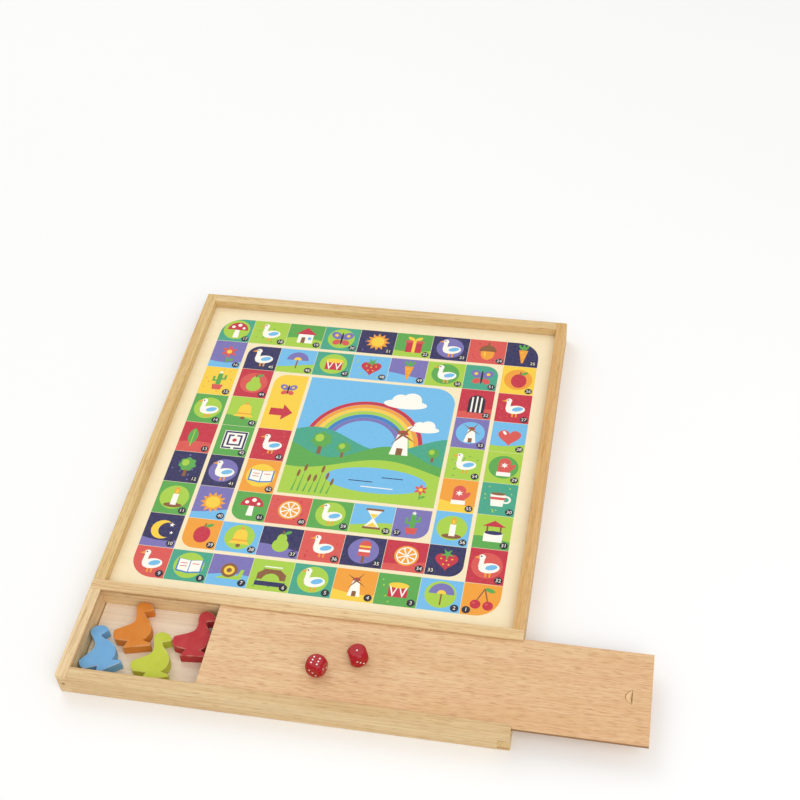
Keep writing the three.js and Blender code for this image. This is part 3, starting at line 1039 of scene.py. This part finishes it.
floor_colour = floor_ply.mix(floor_face, floor_under, floor_inside)
floor_colour = floor_ply.mix(floor_lines * floor_line_strength, floor_colour, tone("b08562"))
floor_relief = floor_ply.bump(floor_lines, 0.2, floor_grain_depth)
floor_sockets = {"Base Color": floor_colour, "Roughness": 0.6, "Normal": floor_relief}
tray_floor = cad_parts["tray_floor"]
tray_floor.data.materials.clear()
tray_floor.data.materials.append(floor_ply.shade(floor_sockets))

# Lid: one thin slip of veneered plywood that slides in the grooves of the divider and the
# front rail. A half-moon thumb notch is cut into its top near the open end.
lid_ease = 0.25 * mm
blush_strength = 0.4
lid_line_strength = 0.42
pore_strength = 0.46
lid_veneer = Finish("lid_veneer")
lid_bands = lid_veneer.fade(lid_veneer.noise((4, 45, 45), 3.0), 0.3, 0.7)
lid_blush = lid_veneer.fade(lid_veneer.noise((14, 150, 150), 2.0), 0.35, 0.65)
lid_lines = lid_veneer.fade(lid_veneer.noise((42, 640, 640), 3.0, 0.75), 0.42, 0.66)
lid_pores = lid_veneer.fade(lid_veneer.noise((120, 1400, 1400), 1.0), 0.53, 0.7)
lid_colour = lid_veneer.mix(lid_bands, tone("eecfa2"), tone("e0b888"))
lid_colour = lid_veneer.mix(lid_blush * blush_strength, lid_colour, tone("e4b58c"))
lid_colour = lid_veneer.mix(lid_lines * lid_line_strength, lid_colour, tone("c58b55"))
lid_colour = lid_veneer.mix(lid_pores * pore_strength, lid_colour, tone("ab6f45"))
lid_relief = lid_veneer.bump(1 - (lid_lines * 0.4 + lid_pores), 0.3, grain_depth)
lid_sockets = {"Base Color": lid_colour, "Roughness": lid_lines * 0.12 + 0.5, "Normal": lid_relief}
lid_sockets["Specular IOR Level"] = wood_sheen
lid = dressed("lid", "lid_slip", lid_ease, [lid_veneer.shade(lid_sockets)])

# The notch is left raw from the cutter, with a painted shade line along its rim. The sawn edges show brown,
# partly their own tone and partly painted shade.
lid_low, lid_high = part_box("lid")
edge_margin = 2 * mm
under_skin = 0.3 * mm
top_skin = 0.02 * mm
rim_shade_strength = 0.85
notch_skin = 1
sawn_edge_shade_skin = 2
upright = 0.7
level = 0.95
rim_shade_from = lid_high.z - 0.34 * mm
rim_shade_full = lid_high.z - 0.16 * mm
lid_raw = Finish("lid_raw")
raw_lines = lid_raw.noise((60, 900, 900), 3.0)
raw_place = lid_raw.node("ShaderNodeTexCoord", output="Object")
raw_height = lid_raw.node("ShaderNodeSeparateXYZ", None, {0: raw_place}, "Z")
# Painted shade: the raw wood darkens just below the top face, round the notch's rim.
rim_shade = lid_raw.fade(raw_height, rim_shade_from, rim_shade_full)
raw_colour = lid_raw.mix(raw_lines, tone("eeca98"), tone("e5bc88"))
raw_colour = lid_raw.mix(rim_shade * rim_shade_strength, raw_colour, tone("9a6638"))
# The sawn edges and the notch's steep wall get a dark brown: partly the plywood's own edge, and partly
# painted shade on faces turned from the light.
sawn_edge_shade = Finish("lid_raw_edge")
edge_specks = sawn_edge_shade.noise((1500, 1500, 1500), 2.0)
sawn_edge_shade_colour = sawn_edge_shade.mix(edge_specks, tone("86633f"), tone("a07850"))
lid.data.materials.append(lid_raw.shade({"Base Color": raw_colour, "Roughness": 0.7}))
lid.data.materials.append(sawn_edge_shade.shade({"Base Color": sawn_edge_shade_colour, "Roughness": 0.8}))
# Upright faces take the dark brown edge finish, part of it painted shade; the notch's floor takes the raw
# finish.
for face in lid.data.polygons:
    sunk = lid_low.z + under_skin < face.center.z < lid_high.z - top_skin
    inner = lid_low.x + edge_margin < face.center.x < lid_high.x - edge_margin
    inner = inner and lid_low.y + edge_margin < face.center.y < lid_high.y - edge_margin
    if sunk and inner:
        face.material_index = sawn_edge_shade_skin if abs(face.normal.x) > upright else notch_skin
    elif abs(face.normal.z) < level:
        face.material_index = sawn_edge_shade_skin
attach(lid, "lid")
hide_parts("lid")

# Goose pawns: four pawns sawn from one outline in thin board, sanded round the edges and
# dipped in paint, a colour each. They lie on their sides on the tray floor.
pawn_ease = 0.5 * mm
pawn_steps = 3
paint_depth = 0.08 * mm
paint_sheen = 0.2
deep_strength = 0.6
bare_wood_and_highlight = tone("ecd9b4")
face_wear = 0.03
# The arrises are paler: partly worn paint and partly a painted highlight along the edges.
edge_wear_and_highlight = 0.45


def painted(name, colour, deep, wear_and_highlight_share):
    """Thin paint over wood: the grain lifts it a little, and where rubbed the wood shows through; on the
    arrises the same pale tone is also a painted highlight.
    """
    finish = Finish(name)
    mottle = finish.fade(finish.noise((130, 130, 130), 3.0), 0.3, 0.7)
    grain = finish.noise((260, 900, 900), 2.0)
    rubbed_and_highlit = finish.fade(finish.noise((240, 240, 240), 3.0), 0.35, 0.75)
    coat = finish.mix(mottle * deep_strength, tone(colour), tone(deep))
    coat = finish.mix(rubbed_and_highlit * wear_and_highlight_share, coat, bare_wood_and_highlight)
    relief = finish.bump(grain, 0.2, paint_depth)
    sockets = {"Base Color": coat, "Roughness": mottle * 0.12 + 0.45, "Normal": relief}
    return finish.shade({**sockets, "Specular IOR Level": paint_sheen})


pawns = [
    ("blue", "73aedb", "68a2d0"),
    ("orange", "d8822c", "cf7724"),
    ("green", "c2ca40", "b7c136"),
    ("red", "be343a", "b22c33"),
]
for hue, coat_colour, coat_deep in pawns:
    face_paint = painted(hue + "_paint", coat_colour, coat_deep, face_wear)
    # Edge paint: worn paint plus a painted highlight on the eased arrises.
    edge_paint_and_highlight = painted(hue + "_edge_paint_and_highlight", coat_colour, coat_deep, edge_wear_and_highlight)
    pawn = dressed("goose_" + hue, "goose_pawn_" + hue, pawn_ease, [face_paint, edge_paint_and_highlight], pawn_steps)
    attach(pawn, hue + "_goose")
    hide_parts("goose_" + hue)

# Dice: two moulded red dice, each a ball cut to six round flats, with pips drilled in and
# painted white. They lie loose on the lid.
die_bulge = 1.27
die_steps = 72
die_rings = 36
die_weld = 0.02 * mm
die_flat_angle = math.radians(0.2)
die_rim_angle = math.radians(18)
die_smooth_angle = math.radians(25)
die_rim_ease = 0.14 * mm
die_rim_steps = 4
pip_reach = 2.3 * mm
pip_radius = 0.6 * mm
pip_ball = 0.85 * mm
pip_steps = 16
pip_rings = 10

die_plastic = Finish("die_red")
die_mottle = die_plastic.noise((240, 240, 240))
die_colour = die_plastic.mix(die_mottle, tone("b00a1c"), tone("a40818"))
die_rough = die_mottle * 0.08 + 0.1
die_sockets = {"Base Color": die_colour, "Roughness": die_rough, "Specular IOR Level": 0.3}
die_skin = die_plastic.shade(die_sockets)
pip_paint = Finish("pip_white")
pip_mottle = pip_paint.noise((900, 900, 900))
pip_colour = pip_paint.mix(pip_mottle, tone("f7f5f0"), tone("ebe8e0"))
pip_skin = pip_paint.shade({"Base Color": pip_colour, "Roughness": 0.5})

pip_places = {
    1: [(0, 0)],
    2: [(-0.9, 0.9), (0.9, -0.9)],
    3: [(-0.9, 0.9), (0, 0), (0.9, -0.9)],
    4: [(-1, -1), (-1, 1), (1, -1), (1, 1)],
    5: [(-1, -1), (-1, 1), (0, 0), (1, -1), (1, 1)],
    6: [(-0.88, -1.0), (-0.88, 0), (-0.88, 1.0), (0.88, -1.0), (0.88, 0), (0.88, 1.0)],
}
die_sides = [
    Vector((0, 0, 1)),
    Vector((0, 0, -1)),
    Vector((0, -1, 0)),
    Vector((0, 1, 0)),
    Vector((1, 0, 0)),
    Vector((-1, 0, 0)),
]


def die(node, name, body, turn, top, front, right):
    """One die: a ball cut to six flats, with the pips drilled in; opposite faces make seven."""
    low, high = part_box(node)
    half = (high.z - low.z) / 2
    bpy.ops.object.select_all(action="DESELECT")
    bpy.ops.mesh.primitive_uv_sphere_add(segments=die_steps, ring_count=die_rings, radius=die_bulge * half)
    piece = bpy.context.object
    piece.name = name
    bpy.ops.mesh.primitive_cube_add(size=2 * half)
    saw = bpy.context.object
    bpy.ops.object.select_all(action="DESELECT")
    piece.select_set(True)
    bpy.context.view_layer.objects.active = piece
    flats = piece.modifiers.new("flats", "BOOLEAN")
    flats.object = saw
    flats.operation = "INTERSECT"
    bpy.ops.object.modifier_apply(modifier=flats.name)
    bpy.data.objects.remove(saw)
    bpy.ops.object.mode_set(mode="EDIT")
    bpy.ops.mesh.select_all(action="SELECT")
    bpy.ops.mesh.remove_doubles(threshold=die_weld)
    bpy.ops.mesh.normals_make_consistent(inside=False)
    bpy.ops.mesh.dissolve_limited(angle_limit=die_flat_angle)
    bpy.ops.object.mode_set(mode="OBJECT")
    softened_rim = piece.modifiers.new("softened_rim", "BEVEL")
    softened_rim.width = die_rim_ease
    softened_rim.segments = die_rim_steps
    softened_rim.limit_method = "ANGLE"
    softened_rim.angle_limit = die_rim_angle
    bpy.ops.object.modifier_apply(modifier=softened_rim.name)
    piece.data.materials.append(die_skin)
    piece.data.materials.append(pip_skin)
    cutters = []
    pip_lift = math.sqrt(pip_ball ** 2 - pip_radius ** 2)
    for way, value in zip(die_sides, (top, 7 - top, front, 7 - front, right, 7 - right)):
        across = Vector((0, 1, 0)) if abs(way.x) > 0.5 else Vector((1, 0, 0))
        up = way.cross(across)
        for a, b in pip_places[value]:
            place = way * (half + pip_lift) + across * (a * pip_reach) + up * (b * pip_reach)
            bpy.ops.mesh.primitive_uv_sphere_add(
                segments=pip_steps, ring_count=pip_rings, radius=pip_ball, location=place
            )
            cutters.append(bpy.context.object)
    bpy.ops.object.select_all(action="DESELECT")
    for cutter in cutters:
        cutter.data.materials.append(pip_skin)
        cutter.select_set(True)
    bpy.context.view_layer.objects.active = cutters[0]
    bpy.ops.object.join()
    drill = bpy.context.object
    bpy.ops.object.select_all(action="DESELECT")
    piece.select_set(True)
    bpy.context.view_layer.objects.active = piece
    drilled = piece.modifiers.new("drilled", "BOOLEAN")
    drilled.object = drill
    drilled.operation = "DIFFERENCE"
    drilled.material_mode = "TRANSFER"
    bpy.ops.object.modifier_apply(modifier=drilled.name)
    bpy.data.objects.remove(drill)
    piece.location = (low + high) / 2
    piece.rotation_euler = (0, 0, turn)
    bpy.ops.object.transform_apply(location=True, rotation=True, scale=True)
    smoothed(piece, die_smooth_angle)
    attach(piece, body)
    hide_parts(node)


die("die_six", "six_up_die", "six_die", turn=math.radians(-13), top=6, front=3, right=2)
die("die_one", "one_up_die", "one_die", turn=math.radians(30), top=1, front=3, right=5)
